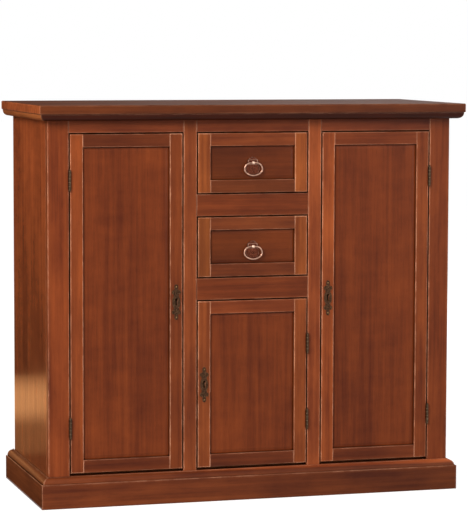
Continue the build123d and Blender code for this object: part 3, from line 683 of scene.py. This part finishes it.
# A pull's relief, from the middle of its ball. A rim is an arc, and a head is a radius and a height.
LOWER_RIM = ((0, -16), 18.0, 146, 394)
LOWER_RIM_BEAD = 0.85
UPPER_RIM = ((0, 2), 12.2, 38, 142)
UPPER_RIM_BEAD = 0.7
PEARL_COUNT = 26
PEARL_CENTRE = (0, -16)
PEARL_REACH = 14.2
PEARL_START = 152
PEARL_STEP = 9.4
PEARL_HEAD = (1.0, 0.8)
ROSETTE_PLACE = (0, -18, 0)
ROSETTE_HEAD = (2.4, 1.3)
PETAL_COUNT = 8
PETAL_REACH = 6.4
PETAL_WIDTH = 0.55
PETAL_HEAD = (4.0, 0.9)
SADDLE_CORNERS = {0: (11.4, 6.2), 90: (-11.4, 6.2), 180: (-11.4, -3.2), 270: (11.4, -3.2)}
SADDLE_CORNER_RADIUS = 1.2
SADDLE_BEAD = 0.8


def add_rosette(form, face):
    middle = face @ Matrix.Translation(ROSETTE_PLACE)
    petal = Matrix.Translation((0, PETAL_REACH, 0)) @ Matrix.Diagonal((PETAL_WIDTH, 1.0, 1.0, 1.0))
    for index in range(PETAL_COUNT):
        turn = Matrix.Rotation(2 * math.pi * index / PETAL_COUNT, 4, "Z")
        add_dome(form, middle @ turn @ petal, *PETAL_HEAD, 14)
    add_dome(form, middle, *ROSETTE_HEAD)


def add_pull_relief(metals):
    """Rim, pearls and rosette on each back plate, and a bead round its saddle."""
    for drawer in DRAWERS:
        height = joint_place(f"{drawer}_ring_swing").z
        front = corners(f"{drawer}_front_panel")[0].y - PLATE_THICKNESS
        face = seat((0, front, height), "-Y")
        relief = bmesh.new()
        add_bead(relief, face, arc(*LOWER_RIM, 44), LOWER_RIM_BEAD)
        add_bead(relief, face, arc(*UPPER_RIM, 20), UPPER_RIM_BEAD)
        for index in range(PEARL_COUNT):
            pearl = on_circle(PEARL_CENTRE, PEARL_REACH, PEARL_START + PEARL_STEP * index)
            add_dome(relief, face @ Matrix.Translation((*pearl, 0)), *PEARL_HEAD, 8)
        add_rosette(relief, face)
        add_piece(f"{drawer}_plate_relief", relief, drawer, metals["plate_bronze"])
        rim = bmesh.new()
        outline = []
        for start, centre in SADDLE_CORNERS.items():
            outline += arc(centre, SADDLE_CORNER_RADIUS, start, start + 90, 5)
        saddle_face = seat((0, front - SADDLE_THICKNESS, height), "-Y")
        add_bead(rim, saddle_face, outline, SADDLE_BEAD, loop=True)
        add_piece(f"{drawer}_saddle_rim", rim, drawer, metals["antique_brass"])


def add_pull_nuts(metals):
    for drawer in DRAWERS:
        behind = corners(f"{drawer}_front_panel")[1].y
        face = seat((0, behind, joint_place(f"{drawer}_ring_swing").z), "+Y")
        nut = bmesh.new()
        add_turned(nut, face, WASHER, 32)
        add_turned(nut, face, NUT, 6)
        add_piece(f"{drawer}_pull_nut", nut, drawer, metals["steel"])


def add_back_nails(metals):
    low, high = corners("back_panel")
    left, right = low.x + NAIL_INSET, high.x - NAIL_INSET
    foot, head = low.z + NAIL_INSET, high.z - NAIL_INSET
    columns = round((right - left) / NAIL_STEP)
    rows = round((head - foot) / NAIL_STEP)
    across = [left + (right - left) * index / columns for index in range(columns + 1)]
    upwards = [foot + (head - foot) * index / rows for index in range(rows + 1)]
    places = {(x, z) for x in across for z in (foot, head)}
    places |= {(x, z) for x in (left, right) for z in upwards}
    nails = bmesh.new()
    for x, z in sorted(places):
        add_dome(nails, seat((x, high.y, z), "+Y"), NAIL_RADIUS, NAIL_PROUD, 10)
    add_piece("back_nails", nails, "carcass", metals["steel"])


# Studio
WHITE = (1.0, 1.0, 1.0)
FLOOR_HALF = 30.0
FLOOR_LIT = (0.36, 0.34, 0.32)
FLOOR_SHOWN = (0.3, 0.3, 0.3)
FLOOR_GLOW = 0.84
SKY = (1.0, 0.985, 0.965)
HORIZON_LIGHT = 0.16
ZENITH_LIGHT = 0.75
# Corners and glows of the dark flag and the warm card, and the ramps of the card's glow over its height
FLAG_LYING = [(-3.0, -0.25, 0.004), (-0.56, -0.25, 0.004), (-0.56, 0.62, 0.004), (-3.0, 0.62, 0.004)]
FLAG_STANDING = [(-3.0, 0.62, 0.004), (3.0, 0.62, 0.004), (3.0, 0.62, 2.6), (-3.0, 0.62, 2.6)]
FLAG_GLOW = (0.07, 0.035, 0.018)
CARD = [(-1.5, 0.6, 0.006), (-0.56, 0.6, 0.006), (-0.56, 0.6, 0.25), (-1.5, 0.6, 0.2)]
CARD_GLOW = (1.0, 0.47, 0.18)
CARD_FOOT = (0.085, 0.15, 0.46, 1.9)
CARD_HEAD = (0.19, 0.25, 1.0, 0.35)
# Each soft square lamp's place, size, power and colour
LAMP_TARGET = (0.0, -0.1, 0.55)
LAMPS = {
    "key": ((-3.5, -3.6, 3.1), 2.2, 262.0, (1.0, 0.97, 0.93)),
    "fill": ((3.4, -4.2, 1.8), 2.6, 60.0, WHITE),
    "back": ((2.4, 4.6, 2.6), 2.6, 90.0, WHITE),
}


def seen_share(shader):
    """1 for rays that show the background: from the camera, off gloss, or through glass."""
    path = shader.add("ShaderNodeLightPath").outputs
    seen = shader.math("MAXIMUM", path["Is Camera Ray"], path["Is Glossy Ray"])
    return shader.math("MAXIMUM", seen, path["Is Transmission Ray"])


def add_sheet(name, points, faces):
    """Plain sheet of the studio, with a material whose surface is still to be made."""
    mesh = bpy.data.meshes.new(name)
    mesh.from_pydata(points, [], faces)
    sheet = bpy.data.objects.new(name, mesh)
    bpy.context.scene.collection.objects.link(sheet)
    material, shader = new_material(name)
    shader.nodes.remove(shader.surface)
    mesh.materials.append(material)
    return sheet, shader


def set_floor():
    points = [(x * FLOOR_HALF, y * FLOOR_HALF, 0) for x, y in ((-1, -1), (1, -1), (1, 1), (-1, 1))]
    shader = add_sheet("floor", points, [(0, 1, 2, 3)])[1]
    lit = shader.add("ShaderNodeBsdfDiffuse", {"Color": FLOOR_LIT})
    pale = shader.add("ShaderNodeBsdfDiffuse", {"Color": FLOOR_SHOWN})
    glow = shader.add("ShaderNodeEmission", {"Color": WHITE, "Strength": FLOOR_GLOW})
    shown = shader.add("ShaderNodeAddShader", {0: pale.outputs[0], 1: glow.outputs[0]})
    choice = {0: seen_share(shader), 1: lit.outputs[0], 2: shown.outputs[0]}
    shader.show(shader.add("ShaderNodeMixShader", choice))


def show_in_gloss_only(sheet):
    for kind in ("camera", "diffuse", "transmission", "volume_scatter", "shadow"):
        setattr(sheet, f"visible_{kind}", False)


def set_cards():
    """A dark flag beside and behind the cabinet and a warm card just before it, shown by gloss alone."""
    flag, shader = add_sheet("flag", FLAG_LYING + FLAG_STANDING, [(0, 1, 2, 3), (4, 5, 6, 7)])
    shader.show(shader.add("ShaderNodeEmission", {"Color": FLAG_GLOW, "Strength": 1.0}))
    show_in_gloss_only(flag)
    card, shader = add_sheet("warm_card", CARD, [(0, 1, 2, 3)])
    height = shader.add("ShaderNodeSeparateXYZ", {0: shader.place()}).outputs["Z"]
    strength = shader.math("MULTIPLY", shader.ramp(height, *CARD_FOOT), shader.ramp(height, *CARD_HEAD))
    shader.show(shader.add("ShaderNodeEmission", {"Color": CARD_GLOW, "Strength": strength}))
    show_in_gloss_only(card)


def set_world():
    world = bpy.data.worlds.new("studio")
    world.use_nodes = True
    bpy.context.scene.world = world
    shader = Shader(world.node_tree)
    way = shader.add("ShaderNodeTexCoord").outputs["Generated"]
    rise = shader.add("ShaderNodeSeparateXYZ", {0: way}).outputs["Z"]
    ambient = shader.nodes["Background"]
    shader.feed(ambient.inputs["Color"], SKY)
    shader.feed(ambient.inputs["Strength"], shader.ramp(rise, 0.0, 1.0, HORIZON_LIGHT, ZENITH_LIGHT))
    white = shader.add("ShaderNodeBackground", {"Color": WHITE, "Strength": 1.0})
    choice = {0: seen_share(shader), 1: ambient.outputs[0], 2: white.outputs[0]}
    shader.show(shader.add("ShaderNodeMixShader", choice), "World Output")


def set_lamps():
    for name, (place, size, power, colour) in LAMPS.items():
        lamp = bpy.data.lights.new(name, "AREA")
        lamp.size = size
        lamp.energy = power
        lamp.color = colour
        holder = bpy.data.objects.new(name, lamp)
        holder.location = place
        way = Vector(LAMP_TARGET) - Vector(place)
        holder.rotation_euler = way.to_track_quat("-Z", "Y").to_euler()
        bpy.context.scene.collection.objects.link(holder)


set_camera()
set_world()
set_floor()
set_cards()
set_lamps()
paint_woods()
metals = paint_metals()
add_hinge_screws(metals)
add_lock_screws(metals)
add_escutcheon_relief(metals)
add_pull_relief(metals)
add_pull_nuts(metals)
add_back_nails(metals)

bpy.context.scene.view_settings.view_transform = "Standard"
